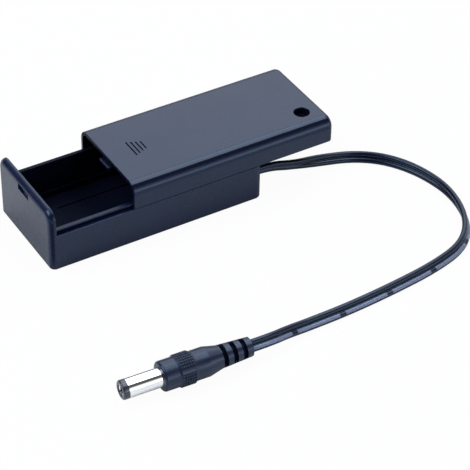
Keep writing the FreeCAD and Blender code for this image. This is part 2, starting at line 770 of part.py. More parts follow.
# Slide switch
def make_switch():
    """A metal frame riveted over a terminal base, with the carriage running inside it."""
    x_half = "switch_width / 2"
    y_half = "switch_length / 2"
    across = (f"{SWITCH_X} - {x_half}", f"{SWITCH_X} + {x_half}")
    along = (f"switch_offset - {y_half}", f"switch_offset + {y_half}")
    can = block("FrameCan", across, along, ("floor_thickness", SWITCH_TOP))
    ears = block(
        "FrameEars",
        (f"{SWITCH_X} - switch_ear_width / 2", f"{SWITCH_X} + switch_ear_width / 2"),
        (f"{along[0]} - switch_ear", f"{along[1]} + switch_ear"),
        ("floor_thickness", "floor_thickness + switch_metal"),
    )
    room = block(
        "FrameRoom",
        (f"{across[0]} + switch_metal", f"{across[1]} - switch_metal"),
        (f"{along[0]} + switch_metal", f"{along[1]} - switch_metal"),
        ("floor_thickness + switch_metal", SWITCH_TOP),
    )
    reach = "((knob_length + knob_travel) / 2 + knob_play)"
    window = block(
        "FrameWindow",
        (f"{SWITCH_X} - knob_width / 2 - knob_play", f"{SWITCH_X} + knob_width / 2 + knob_play"),
        (f"switch_offset - {reach}", f"switch_offset + {reach}"),
        ("0", "floor_thickness + 2 * switch_metal"),
    )
    holes = [
        rod(
            f"EarHole{index}",
            (
                SWITCH_X,
                f"switch_offset {side} (switch_length + switch_ear) / 2",
                "floor_thickness",
            ),
            "switch_post / 2 + switch_post_play",
            "switch_metal",
        )
        for index, side in enumerate(("+", "-"))
    ]
    frame = cut("FrameCut", fused("FrameBlank", can, ears), room, window, *holes)
    keep(frame, "switch_frame")

    terminals = []
    for index, word in zip((-1, 0, 1), ("On", "Common", "Off")):
        middle = f"switch_offset + {index} * terminal_pitch"
        blade = block(
            f"Terminal{word}",
            (f"{SWITCH_X} - terminal_thickness / 2", f"{SWITCH_X} + terminal_thickness / 2"),
            (f"{middle} - terminal_width / 2", f"{middle} + terminal_width / 2"),
            (f"{SWITCH_TOP} - terminal_contact", TERMINAL_TOP),
        )
        terminals.append(blade)
    plate = block("BasePlate", across, along, (SWITCH_TOP, f"{SWITCH_TOP} + switch_base"))
    keep(cut("BaseCut", plate, *terminals), "switch_base")
    for blade, word in zip(terminals, ("on", "common", "off")):
        keep(blade, f"switch_terminal_{word}")

    # The carriage stands at its off end, away from the terminal that feeds the lead
    knob_y = "(switch_offset + knob_travel / 2)"
    carriage_top = f"{CARRIAGE_BASE} + carriage_height"
    carriage = block(
        "Carriage",
        (f"{SWITCH_X} - carriage_width / 2", f"{SWITCH_X} + carriage_width / 2"),
        (f"{knob_y} - carriage_length / 2", f"{knob_y} + carriage_length / 2"),
        (CARRIAGE_BASE, carriage_top),
    )
    knob_sides = (f"{SWITCH_X} - knob_width / 2", f"{SWITCH_X} + knob_width / 2")
    stem = block(
        "KnobStem", knob_sides, (f"{knob_y} - knob_length / 2", f"{knob_y} + knob_length / 2"),
        ("knob_inset", f"{CARRIAGE_BASE} + carriage_height / 2"),
    )
    ridges = [
        block(
            f"KnobGroove{index}",
            knob_sides,
            (
                f"{knob_y} + ({index} * 2 - 0.5) * knob_length / 7",
                f"{knob_y} + ({index} * 2 + 0.5) * knob_length / 7",
            ),
            ("knob_inset", "knob_inset + knob_play"),
        )
        for index in (-1, 0, 1)
    ]
    knob = cut("KnobCut", fused("KnobBlank", carriage, stem), *ridges)
    keep(knob, "switch_knob")
    wiper = block(
        "Wiper",
        (f"{SWITCH_X} - carriage_width / 4", f"{SWITCH_X} + carriage_width / 4"),
        (f"{knob_y} - carriage_length / 2.2", f"{knob_y} + carriage_length / 2.2"),
        (carriage_top, f"{carriage_top} + wiper_thickness"),
    )
    keep(wiper, "switch_wiper")


# Free lead and inner wires
def tube(name, label, route, diameter):
    """A round section swept along straight runs that tangent arcs join at the route's points."""
    points = [Vector(*place) for place in route]
    edges = []
    radii = []
    start = points[0]
    for before, corner, after in zip(points, points[1:], points[2:]):
        back = before - corner
        ahead = after - corner
        shorter = min(back.Length, ahead.Length)
        turn = math.pi - back.getAngle(ahead)
        radius = 0.45 * shorter / math.tan(turn / 2)
        radii.append(radius)
        back.normalize()
        ahead.normalize()
        enter = corner + back * 0.45 * shorter
        leave = corner + ahead * 0.45 * shorter
        inward = (back + ahead).normalize()
        middle = corner + inward * radius * (1 / math.cos(turn / 2) - 1)
        edges.append(Part.LineSegment(start, enter).toShape())
        edges.append(Part.Arc(enter, middle, leave).toShape())
        start = leave
    edges.append(Part.LineSegment(start, points[-1]).toShape())
    path = Part.Wire(edges)
    heading = points[1] - points[0]
    ring = Part.Wire([Part.Circle(points[0], heading, diameter / 2).toShape()])
    solid = path.makePipeShell([ring], True, True)
    feature = doc.addObject("Part::Feature", name)
    feature.Shape = solid
    section = math.pi * diameter**2 / 4
    print(
        f"{label}: {path.Length:.1f} mm long, volume over section times length "
        f"{abs(solid.Volume) / (section * path.Length):.4f}, radii",
        [round(radius, 1) for radius in radii],
    )
    keep(feature, label)


def make_lead():
    """From inside the rear wall's hole, down to the floor, round and back to the plug."""
    start_x = size("case_length") / 2 - size("lead_start")
    out_y = size("lead_side_inset") + size("side_wall") - size("case_width") / 2
    out_z = size("lead_height")
    heading = math.radians(size("plug_heading"))
    axis = Vector(math.cos(heading), math.sin(heading), 0)
    tip = Vector(size("plug_x"), size("plug_y"), size("plug_z"))
    grip_names = (
        "grip_start",
        "grip_front_length",
        "grip_band_length",
        "grip_rear_length",
        "grip_taper_length",
        "relief_length",
    )
    plug_end = tip + axis * sum(size(name) for name in grip_names)
    route = [
        (start_x, out_y, out_z),
        (start_x + size("lead_straight"), out_y, out_z),
        (47.2, -12.5, 4.7),
        (57.2, -12.6, 2.8),
        (67.9, -14.5, 1.65),
        (75.8, -20.8, 1.65),
        (81.2, -30.8, 1.65),
        (83.5, -43.8, 1.65),
        (80.0, -57.5, 1.65),
        (72.2, -66.4, 1.65),
        (59.3, -70.2, 1.65),
        (42.5, -72.2, 1.65),
        (27.8, -73.2, 1.65),
        (14.6, -73.3, 1.7),
        (7.2, -74.2, 2.9),
        tuple(plug_end + axis * size("plug_straight")),
        tuple(plug_end),
    ]
    tube("Lead", "lead", route, size("lead_diameter"))


def make_wires():
    """The lead's two conductors part behind the rear wall, past the screw boss."""
    start_x = size("case_length") / 2 - size("lead_start")
    out_y = size("lead_side_inset") + size("side_wall") - size("case_width") / 2
    boss_y = size("screw_side_inset") + size("side_wall") - size("case_width") / 2
    high = size("lead_height") + size("wire_pitch") / 2
    low = size("lead_height") - size("wire_pitch") / 2
    front = size("case_length") / -2 + size("front_wall") + size("battery_play")
    board_back = front + size("battery_length") + size("snap_standoff") + size("board_thickness")
    tag_x = board_back + size("snap_metal") + size("solder_height")
    tag_y = size("snap_pitch") / 2 + size("tag_length") - size("tag_width") / 2
    tag_z = size("floor_thickness") + size("battery_height") / 2
    boss_x = size("case_length") / 2 - size("screw_inset") - size("tray_boss") / 2
    switch_x = size("case_length") / 2 - size("rear_wall") - size("switch_inset")
    terminal_z = size("floor_thickness") + size("switch_height") + size("switch_base")
    terminal_z += size("terminal_rise") + size("solder_height")
    on_y = size("switch_offset") - size("terminal_pitch")
    common_y = size("switch_offset")
    wire = size("wire_diameter")
    rise = size("wire_rise")
    loop_z = terminal_z + size("wire_loop")
    slack = size("wire_slack")
    gap = boss_x - tag_x

    tube(
        "NegativeWire", "negative_wire",
        [
            (start_x, out_y, high),
            (boss_x - 0.14 * gap, out_y, high),
            (tag_x + 0.575 * gap, -tag_y, tag_z),
            (tag_x, -tag_y, tag_z),
        ],
        wire,
    )
    tube(
        "PositiveWire", "positive_wire",
        [
            (start_x, out_y, low),
            (boss_x - 0.05 * gap, out_y, low),
            (boss_x - 0.6 * gap, boss_y, low + rise),
            (boss_x - 0.5 * gap, (boss_y + on_y) / 2, terminal_z + rise),
            (switch_x, on_y, loop_z),
            (switch_x, on_y, terminal_z),
        ],
        wire,
    )
    tube(
        "SwitchedWire", "switched_wire",
        [
            (switch_x, common_y, terminal_z),
            (switch_x, common_y, loop_z),
            (switch_x - slack, tag_y - slack, tag_z + slack),
            (tag_x + 0.64 * gap, tag_y, tag_z),
            (tag_x, tag_y, tag_z),
        ],
        wire,
    )


def make_solder():
    """A bead between each wire's end and the metal that it is soldered to."""
    for label, side in (("solder_socket", ""), ("solder_stud", "-")):
        bead = rod(
            label.title().replace("_", ""), (TAG_BACK, f"{side}{TAG_END}", SNAP_LEVEL),
            "solder_radius", "solder_height", top_radius="wire_diameter / 2", lying=True,
        )
        keep(bead, label)
    for label, index in (("solder_switch_on", -1), ("solder_switch_common", 0)):
        bead = rod(
            label.title().replace("_", ""),
            (SWITCH_X, f"switch_offset + {index} * terminal_pitch", TERMINAL_TOP),
            "solder_radius", "solder_height", top_radius="wire_diameter / 2",
        )
        keep(bead, label)


# Barrel plug
def lay_plug_piece(body, roll=0.0):
    """Turn a body made along +X, from the plug's tip, to where the plug lies."""
    heading = Rotation(Vector(0, 0, 1), size("plug_heading"))
    body.Placement = Placement(Vector(), heading * Rotation(Vector(1, 0, 0), roll))
    bind(body, Placement__Base__x="plug_x", Placement__Base__y="plug_y", Placement__Base__z="plug_z")


def turned_piece(label, outline):
    """A body turned about the plug's axis, from an outline of distance from the tip and radius."""
    body = new_body(label.title().replace("_", ""))
    profile = sketch_on(body, f"{body.Name}Profile", "XZ_Plane")
    polygon(profile, outline)
    turned = revolve(body, f"{body.Name}Turn", "Revolution", profile, "H_Axis")
    return body, turned


def make_plug():
    sleeve_end = "(tip_ring_length + sleeve_length)"
    inner_sleeve = "sleeve_radius - sleeve_wall"
    grip_seat = f"({sleeve_end} - grip_start)"

    body, _ = turned_piece(
        "plug_sleeve",
        [
            ("tip_ring_length", inner_sleeve),
            ("tip_ring_length", "sleeve_radius"),
            ("grip_start", "sleeve_radius"),
            ("grip_start", "sleeve_root_radius"),
            (sleeve_end, "sleeve_root_radius"),
            (sleeve_end, inner_sleeve),
        ],
    )
    lay_plug_piece(body)
    keep(body, "plug_sleeve")

    # The insulator lines the sleeve and shows as the black ring at the tip
    body, turned = turned_piece(
        "plug_insulator",
        [
            ("0", "contact_radius"),
            ("0", "tip_ring_radius"),
            ("tip_ring_length", "tip_ring_radius"),
            ("tip_ring_length", inner_sleeve),
            (sleeve_end, inner_sleeve),
            (sleeve_end, "contact_radius"),
        ],
    )
    fillet(
        body, "TipRound", turned, "contact_setback * 2",
        lambda b: near(b.XMax, 0) and near(b.ZMax, size("tip_ring_radius")),
    )
    lay_plug_piece(body)
    keep(body, "plug_insulator")

    body, _ = turned_piece(
        "plug_centre_contact",
        [
            ("contact_setback", "contact_bore + contact_setback"),
            ("contact_setback", "contact_radius"),
            (sleeve_end, "contact_radius"),
            (sleeve_end, "contact_bore"),
            ("2 * contact_setback", "contact_bore"),
        ],
    )
    lay_plug_piece(body)
    keep(body, "plug_centre_contact")

    make_grip(grip_seat)


def make_grip(seat):
    """The moulded grip: a ribbed band, a taper, and a slotted strain relief."""
    front_end = "(grip_start + grip_front_length)"
    band_end = "(grip_start + grip_front_length + grip_band_length)"
    rear_end = f"({band_end} + grip_rear_length)"
    taper_end = f"({rear_end} + grip_taper_length)"
    relief_end = f"({taper_end} + relief_length)"
    body, turned = turned_piece(
        "plug_grip",
        [
            (f"grip_start + {seat}", "0"),
            (f"grip_start + {seat}", "sleeve_root_radius"),
            ("grip_start", "sleeve_root_radius"),
            ("grip_start", "grip_front_radius"),
            (front_end, "grip_front_radius"),
            (f"{front_end} + grip_band_slope", "grip_band_radius"),
            (f"{band_end} - grip_band_slope", "grip_band_radius"),
            (band_end, "grip_rear_radius"),
            (rear_end, "grip_rear_radius"),
            (taper_end, "relief_start_radius"),
            (relief_end, "relief_end_radius"),
            (relief_end, "0"),
        ],
    )
    front = size("grip_start")
    fillet(
        body, "GripRim", turned, "grip_rim_radius",
        lambda b: near(b.XMax, front) and near(b.ZMax, size("grip_front_radius")),
    )

    # Each slot leaves the core and a web on two sides
    slot = sketch_on(body, "ReliefSlotOutline", "YZ_Plane", f"{taper_end} + relief_slot_first")
    wide = "(grip_band_radius + relief_core_radius)"
    for side in ("", "-"):
        rectangle(
            slot,
            (f"{side}(relief_web / 2)", f"{side}{wide}"),
            (f"-{wide}", wide),
        )
    cutter = slab(body, "ReliefSlot", "Pocket", slot, "relief_slot_width", reverse=True)
    slots = body.newObject("PartDesign::LinearPattern", "ReliefSlots")
    slots.Originals = [cutter]
    slots.Direction = (slot, ["N_Axis"])
    slots.Occurrences = 3
    bind(slots, Length="2 * relief_slot_pitch")
    body.Tip = slots
    doc.recompute()

    core = sketch_on(body, "ReliefCoreOutline", "YZ_Plane", taper_end)
    circle(core, ("0", "0"), "2 * relief_core_radius")
    slab(body, "ReliefCore", "Pad", core, "relief_length")
    lay_plug_piece(body, size("relief_roll"))
    keep(body, "plug_grip")


def write_pieces():
    """Check the whole document, then write each piece to a file of its own."""
    doc.recompute()
    failed = [o.Name for o in doc.Objects if "Invalid" in o.State or "Error" in o.State]
    if failed:
        raise RuntimeError(f"failed objects: {failed}")
    for piece in pieces:
        if piece.Shape.isNull() or not piece.Shape.isValid():
            raise RuntimeError(f"bad shape: {piece.Label}")
    os.makedirs("parts", exist_ok=True)
    for piece in pieces:
        piece.Shape.exportStep(f"parts/{piece.Label}.step")
        print(f"{piece.Label}: {len(piece.Shape.Solids)} solid, {piece.Shape.Volume:.1f} mm3")


fill_sheets()
make_tray()
make_cover()
make_board()
make_stud()
make_socket()
make_rivet("stud_rivet", "-")
make_rivet("socket_rivet", "")
make_solder_tag("stud_solder_tag", "-")
make_solder_tag("socket_solder_tag", "")
make_switch()
make_wires()
make_solder()
make_lead()
make_plug()
write_pieces()
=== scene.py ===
# %% [markdown]
# # Dressing a nine volt battery holder
#
# A small black box takes a rectangular battery. Its cover slides back off a tray, and a flat twin
# lead runs from the tray's rear wall to a barrel plug. The pieces with a true shape and size come
# ready made as a frame, so this lesson adds what a frame can't hold: the lead as a soft thing
# that twists as it lies, the small dots on the plug's grip, and a finish for every surface.

# %% Load the frame
import itertools
import json
import math

import bmesh
import bpy
from mathutils import Matrix, Vector


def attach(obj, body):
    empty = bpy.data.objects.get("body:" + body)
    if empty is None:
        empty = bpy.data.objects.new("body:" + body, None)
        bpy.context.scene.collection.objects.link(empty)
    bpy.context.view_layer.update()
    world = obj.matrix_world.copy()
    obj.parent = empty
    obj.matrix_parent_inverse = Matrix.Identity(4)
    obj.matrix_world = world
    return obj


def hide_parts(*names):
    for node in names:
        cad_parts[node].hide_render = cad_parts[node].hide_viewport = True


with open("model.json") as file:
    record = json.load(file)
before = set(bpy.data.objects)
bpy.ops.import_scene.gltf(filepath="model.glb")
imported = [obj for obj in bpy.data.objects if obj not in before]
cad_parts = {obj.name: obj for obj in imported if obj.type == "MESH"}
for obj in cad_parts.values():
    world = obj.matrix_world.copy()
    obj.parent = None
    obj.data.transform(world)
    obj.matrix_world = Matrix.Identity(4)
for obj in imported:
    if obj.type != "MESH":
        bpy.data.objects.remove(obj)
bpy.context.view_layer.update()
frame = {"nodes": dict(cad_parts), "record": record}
nodes = frame["nodes"]
MM = 0.001

# %% [markdown]
# ## The camera
#
# A product picture is read by its perspective first. The camera here stands where the photograph's
# stood: its heading, its height above the table and its distance were found by matching the case's
# straight edges. The lens is long, about 158 mm, so the box's far end is hardly smaller than its
# near end. Setting the matrix by hand from three directions is plainer than aiming at an empty,
# because the small roll of the picture is then one more angle.

# %% Place the camera
PICTURE = 470
HEADING, HEIGHT, ROLL = (math.radians(angle) for angle in (-31.336, 38.765, 0.896))
DISTANCE = 0.60936
FOCAL_PIXELS = 2066.29
ORIGIN_PIXEL = (132.355, 203.435)
SENSOR = 36.0
NEAREST, FARTHEST = 0.01, 10.0


def placed(name, data):
    """A new object that shows this data, linked into the scene."""
    thing = bpy.data.objects.new(name, data)
    bpy.context.scene.collection.objects.link(thing)
    return thing


def camera_matrix():
    """Where the camera stands, from its angles and the pixel on which the frame's origin falls."""
    back = Vector(
        (
            math.sin(HEADING) * math.cos(HEIGHT),
            -math.cos(HEADING) * math.cos(HEIGHT),
            math.sin(HEIGHT),
        )
    )
    level = (-back).cross(Vector((0, 0, 1))).normalized()
    upright = level.cross(-back)
    right = level * math.cos(ROLL) + upright * math.sin(ROLL)
    up = upright * math.cos(ROLL) - level * math.sin(ROLL)
    across = (ORIGIN_PIXEL[0] - PICTURE / 2) / FOCAL_PIXELS * DISTANCE
    above = -(ORIGIN_PIXEL[1] - PICTURE / 2) / FOCAL_PIXELS * DISTANCE
    turn = Matrix((right, up, back)).transposed().to_4x4()
    return Matrix.Translation(back * DISTANCE - right * across - up * above) @ turn


camera = placed("camera", bpy.data.cameras.new("camera"))
camera.matrix_world = camera_matrix()
camera.data.sensor_width = SENSOR
camera.data.lens = FOCAL_PIXELS / PICTURE * SENSOR
camera.data.clip_start = NEAREST
camera.data.clip_end = FARTHEST
bpy.context.scene.camera = camera
bpy.context.scene.view_settings.view_transform = "Standard"
print("camera at", tuple(round(v, 4) for v in camera.location), "lens", round(camera.data.lens, 1))

# %% [markdown]
# ## The lead's route
#
# The lead is a free thing with a length of its own. It leaves the rear wall, sinks to the table,
# goes round in one wide turn and comes back to the plug. Straight runs with rounded corners
# would look like bent wire, so a smooth curve draws that lazy line from a few points. They pull
# on a spline rather than lying on it, and so the line has no kink at any of them.

# %% Draw the route as one smooth curve
CASE_END = 33.0
PLUG_END = (-5.282, -75.585, 4.45)
ROUTE_MM = [
    (CASE_END, -12.5, 7.2),
    (39.5, -12.5, 7.2),
    (47.2, -12.5, 4.7),
    (57.2, -12.6, 2.8),
    (67.9, -14.5, 1.65),
    (75.8, -20.8, 1.75),
    (81.2, -30.8, 1.85),
    (83.5, -43.8, 1.85),
    (80.0, -57.5, 1.85),
    (72.2, -66.4, 1.7),
    (59.3, -70.2, 1.65),
    (42.5, -72.2, 1.65),
    (27.8, -73.2, 1.65),
    (14.6, -73.3, 1.7),
    (7.2, -74.2, 2.9),
    (1.307, -75.961, 4.45),
    PLUG_END,
]
STEPS_PER_POINT = 14


def smooth_line(points):
    """The points that a smooth curve runs through when these points pull on it."""
    curve = bpy.data.curves.new("route", "CURVE")
    curve.dimensions = "3D"
    curve.resolution_u = STEPS_PER_POINT
    spline = curve.splines.new("NURBS")
    spline.points.add(len(points) - 1)
    for target, point in zip(spline.points, points):
        target.co = (*(MM * value for value in point), 1.0)
    spline.order_u = 3
    spline.use_endpoint_u = True
    holder = bpy.data.objects.new("route", curve)
    line = [vertex.co.copy() for vertex in bpy.data.meshes.new_from_object(holder).vertices]
    bpy.data.objects.remove(holder)
    bpy.data.curves.remove(curve)
    return line


def lengths_along(line):
    """How far each point of a line lies from its start."""
    far = [0.0]
    for before, after in zip(line, line[1:]):
        far.append(far[-1] + (after - before).length)
    return far


lead_line = smooth_line(ROUTE_MM)
lead_far = lengths_along(lead_line)
print(len(lead_line), "points along", round(lead_far[-1] / MM, 1), "mm of lead")

# %% [markdown]
# ## The lead's section and its twist
#
# A flat twin lead is two round insulated wires side by side, moulded together by a thin web. Its
# section is two arcs that meet in a shallow notch on each side. As it lies it also twists: where
# it leaves the case it leans to the front, and further on both wires lean away to the far side.
# A bevel on the curve would sweep the section too, but the twist and the map for the stripe are
# easier to steer in a mesh of one's own. One leaning direction, blended along the length and
# squared up to the line at each point, gives that slow twist without any sudden turn.

# %% The twin section and its map
WIRE_RADIUS = 0.875
WIRE_SPACING = 1.87
NOTCH_ANGLE = 147.0
NOTCH_DEPTH = 0.16
NOTCH_SHARE = 0.03
ARC_STEPS = 16
MAP_ROUND = 2.0


def twin_section():
    """The outline as (along the width, across it, map place): far wire 0 to 1, near wire 1 to 2."""
    outline = []
    for wire, side in ((0, 1), (1, -1)):
        for step in range(ARC_STEPS + 1):
            share = step / ARC_STEPS
            angle = math.radians(NOTCH_ANGLE * (2 * share - 1))
            outline.append(
                (
                    side * (WIRE_SPACING / 2 + WIRE_RADIUS * math.cos(angle)),
                    side * WIRE_RADIUS * math.sin(angle),
                    wire + NOTCH_SHARE + (1 - 2 * NOTCH_SHARE) * share,
                )
            )
        outline.append((0.0, side * NOTCH_DEPTH, wire + 1.0))
    return outline


lead_section = twin_section()
print("section of", len(lead_section), "points")

# %% Sweep the section along the route
LEANS = [(0.0, -23.0), (14.0, -14.0), (30.0, 41.0), (174.0, 39.0)]


def lean_at(far_mm):
    """The lead's lean from upright to the far side, in degrees, at a distance from the case."""
    for (start, low), (end, high) in zip(LEANS, LEANS[1:]):
        if far_mm <= end:
            share = (far_mm - start) / (end - start)
            return low + (high - low) * share * share * (3 - 2 * share)
    return LEANS[-1][1]


def as_piece(name, mesh):
    """The finished mesh as an object in the scene."""
    data = bpy.data.meshes.new(name)
    mesh.to_mesh(data)
    mesh.free()
    return placed(name, data)


def section_ring(mesh, line, index, far_mm, section):
    """The section's corners round one point of the line, turned square to it."""
    ahead = line[min(index + 1, len(line) - 1)] - line[max(index - 1, 0)]
    ahead.normalize()
    lean = math.radians(lean_at(far_mm))
    wide = Vector((0, math.sin(lean), math.cos(lean)))
    wide = (wide - ahead * wide.dot(ahead)).normalized()
    thick = ahead.cross(wide)
    return [mesh.verts.new(line[index] + (wide * a + thick * b) * MM) for a, b, _ in section]


def swept(name, line, far, section, map_name):
    """A closed tube of the section along the line, with its length and outline as a map."""
    mesh = bmesh.new()
    uv = mesh.loops.layers.uv.new(map_name)
    rings = [section_ring(mesh, line, k, far[k] / MM, section) for k in range(len(line))]
    for row, (ring, after) in enumerate(zip(rings, rings[1:])):
        for k in range(len(section)):
            beside = (k + 1) % len(section)
            place = section[k][2]
            next_place = section[beside][2] + (0.0 if beside else MAP_ROUND)
            corners = (
                (ring[k], row, place),
                (ring[beside], row, next_place),
                (after[beside], row + 1, next_place),
                (after[k], row + 1, place),
            )
            face = mesh.faces.new([corner[0] for corner in corners])
            face.smooth = True
            for loop, (_, along, around) in zip(face.loops, corners):
                loop[uv].uv = (far[along] / far[-1], around / MAP_ROUND)
    for ring in (rings[0], rings[-1]):
        mesh.faces.new(ring)
    bmesh.ops.recalc_face_normals(mesh, faces=mesh.faces)
    return as_piece(name, mesh)


LEAD_MAP = "lead_map"
twin_lead = swept("twin_lead", lead_line, lead_far, lead_section, LEAD_MAP)
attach(twin_lead, "case")
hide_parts("lead")
print("lead:", len(twin_lead.data.polygons), "faces")

# %% [markdown]
# ## Effects that several finishes share
#
# Moulded plastic, plate and insulation all break up the light a little: a faint grain from the
# mould, a slow change of gloss where hands have been, and paler edges, partly from rubbing and
# partly a painted highlight along them. The same nodes could be made again in each material, but
# then one change would be many. So each effect is a node group that a material places with its
# own numbers. One group holds a fine noise for the grain and a slow one for the gloss. The other
# finds the edges by how sharply the surface bends, paints them paler as rubbing and as a painted
# highlight, and breaks them up with a third noise, because rubbing is never even.


# %% Helpers for shader nodes
def add(tree, kind, **settings):
    """A node of that kind with its properties and unlinked sockets set by name."""
    node = tree.nodes.new(f"ShaderNode{kind}")
    for name, value in settings.items():
        if hasattr(node, name):
            setattr(node, name, value)
        else:
            node.inputs[name.replace("_", " ")].default_value = value
    return node


def feed(tree, term, socket):
    """Link what changes over the surface to a socket, or set a plain number or colour on it."""
    if isinstance(term, bpy.types.NodeSocket):
        tree.links.new(term, socket)
    else:
        socket.default_value = term


def calc(tree, operation, *terms):
    """A sum whose terms are outputs of other nodes or plain numbers."""
    node = add(tree, "Math", operation=operation)
    for term, socket in zip(terms, node.inputs):
        feed(tree, term, socket)
    return node.outputs["Value"]


def map_range(tree, source, low, high, to_low, to_high):
    """A value moved from one range to another."""
    node = add(tree, "MapRange")
    labels = ("Value", "From Min", "From Max", "To Min", "To Max")
    for label, term in zip(labels, (source, low, high, to_low, to_high)):
        feed(tree, term, node.inputs[label])
    return node.outputs["Result"]


def mixed(tree, share, colour, other):
    """One colour that fades to another by a share from 0 to 1."""
    node = add(tree, "Mix", data_type="RGBA")
    for label, term in (("Factor", share), ("A", colour), ("B", other)):
        feed(tree, term, node.inputs[label])
    return node.outputs["Result"]


def parts_of(tree, vector):
    """The three numbers of a vector that changes over the surface."""
    node = add(tree, "SeparateXYZ")
    tree.links.new(vector, node.inputs["Vector"])
    return [node.outputs[label] for label in "XYZ"]


def new_group(name, inputs, outputs):
    """An empty shader group with named sockets; inputs give a default number or colour."""
    group = bpy.data.node_groups.new(name, "ShaderNodeTree")
    for label, kind, default in inputs:
        socket = group.interface.new_socket(label, in_out="INPUT", socket_type=f"NodeSocket{kind}")
        socket.default_value = default
    for label, kind in outputs:
        group.interface.new_socket(label, in_out="OUTPUT", socket_type=f"NodeSocket{kind}")
    return group, group.nodes.new("NodeGroupInput"), group.nodes.new("NodeGroupOutput")


# %% The mould's grain
GRAIN_HEIGHT = 0.02 * MM
GLOSS_SCALE = 120.0
GLOSS_LOW, GLOSS_HIGH = 0.35, 0.65


def make_grain():
    """Grain height as a normal, and a slow gloss mask from 0 to 1."""
    group, given, made = new_group(
        "mould_grain",
        [("Grain Size", "Float", 9000.0), ("Depth", "Float", 0.1)],
        [("Normal", "Vector"), ("Gloss Mask", "Float")],
    )
    place = add(group, "TexCoord").outputs["Object"]
    fine = add(group, "TexNoise", Detail=3.0, Roughness=0.6)
    slow = add(group, "TexNoise", Scale=GLOSS_SCALE, Detail=4.0, Roughness=0.55)
    bump = add(group, "Bump", Distance=GRAIN_HEIGHT)
    group.links.new(place, fine.inputs["Vector"])
    group.links.new(place, slow.inputs["Vector"])
    group.links.new(given.outputs["Grain Size"], fine.inputs["Scale"])
    group.links.new(given.outputs["Depth"], bump.inputs["Strength"])
    group.links.new(fine.outputs["Fac"], bump.inputs["Height"])
    group.links.new(bump.outputs["Normal"], made.inputs["Normal"])
    mask = map_range(group, slow.outputs["Fac"], GLOSS_LOW, GLOSS_HIGH, 0.0, 1.0)
    group.links.new(mask, made.inputs["Gloss Mask"])
    return group


grain = make_grain()
print("group", grain.name, "has", len(grain.nodes), "nodes")

# %% Rubbed edges with a painted highlight
PATCH_SCALE = 700.0
PATCH_LOW, PATCH_HIGH, PATCH_LEAST = 0.40, 0.62, 0.35
SHARP_LOW, SHARP_HIGH = 0.52, 0.60


def make_edge_wear_and_highlight():
    """The colour, a little paler where the surface bends out sharply, partly from rubbing and
    partly a painted highlight.
    """
    group, given, made = new_group(
        "edge_wear_and_highlight_group",
        [
            ("Colour", "Color", (0.1, 0.1, 0.1, 1.0)),
            ("Wear And Highlight Colour", "Color", (0.2, 0.2, 0.2, 1.0)),
            ("Amount", "Float", 0.5),
        ],
        [("Colour", "Color")],
    )
    shape = add(group, "NewGeometry")
    patches = add(group, "TexNoise", Scale=PATCH_SCALE, Detail=3.0)
    group.links.new(add(group, "TexCoord").outputs["Object"], patches.inputs["Vector"])
    sharp = map_range(group, shape.outputs["Pointiness"], SHARP_LOW, SHARP_HIGH, 0.0, 1.0)
    broken = map_range(group, patches.outputs["Fac"], PATCH_LOW, PATCH_HIGH, PATCH_LEAST, 1.0)
    wear_and_highlight_mask = calc(group, "MULTIPLY", sharp, broken)
    share = calc(group, "MULTIPLY", wear_and_highlight_mask, given.outputs["Amount"])
    colour = mixed(group, share, given.outputs["Colour"], given.outputs["Wear And Highlight Colour"])
    group.links.new(colour, made.inputs["Colour"])
    return group


edge_wear_and_highlight = make_edge_wear_and_highlight()
print("group", edge_wear_and_highlight.name, "has", len(edge_wear_and_highlight.nodes), "nodes")

# %% [markdown]
# ## Finishes
#
# One short function makes a finish: a Principled shader whose colour comes through the paler
# edges, partly from rubbing and partly a painted highlight, whose normal comes from the grain, and
# whose roughness moves between two numbers with the gloss mask. What a plastic, a plate and a
# rubber differ in is only these numbers, so the calls read like a list of real finishes. The
# case's black is a very dark navy, and its gloss is tinted a little cool, as a bluish black
# moulding looks under daylight.

# %% A finish from its numbers
WHITE = (1.0, 1.0, 1.0)
COOL = (0.57, 0.76, 1.0)
PALE_COOL = (0.80, 0.88, 1.0)
finishes = {}


def new_material(name):
    """A material with its node tree and its Principled shader."""
    material = bpy.data.materials.new(name)
    material.use_nodes = True
    return material, material.node_tree, material.node_tree.nodes["Principled BSDF"]


def finish(
    name,
    colour,
    wear_and_highlight_colour,
    gloss,
    grain_size,
    depth,
    wear_and_highlight=0.5,
    metallic=0.0,
    tint=WHITE,
    level=0.5,
):
    """A material, kept by its name: colours, roughness ends, grain, gloss and paler edges, partly a
    painted highlight.
    """
    material, tree, shader = new_material(name)
    shader.inputs["Metallic"].default_value = metallic
    shader.inputs["Specular Tint"].default_value = (*tint, 1.0)
    shader.inputs["Specular IOR Level"].default_value = level
    surface = add(tree, "Group", node_tree=grain)
    surface.inputs["Grain Size"].default_value = grain_size
    surface.inputs["Depth"].default_value = depth
    edges = add(tree, "Group", node_tree=edge_wear_and_highlight)
    edges.inputs["Colour"].default_value = (*colour, 1.0)
    edges.inputs["Wear And Highlight Colour"].default_value = (*wear_and_highlight_colour, 1.0)
    edges.inputs["Amount"].default_value = wear_and_highlight
    roughness = map_range(tree, surface.outputs["Gloss Mask"], 0.0, 1.0, *gloss)
    tree.links.new(edges.outputs["Colour"], shader.inputs["Base Color"])
    tree.links.new(surface.outputs["Normal"], shader.inputs["Normal"])
    tree.links.new(roughness, shader.inputs["Roughness"])
    finishes[name] = material
    return material


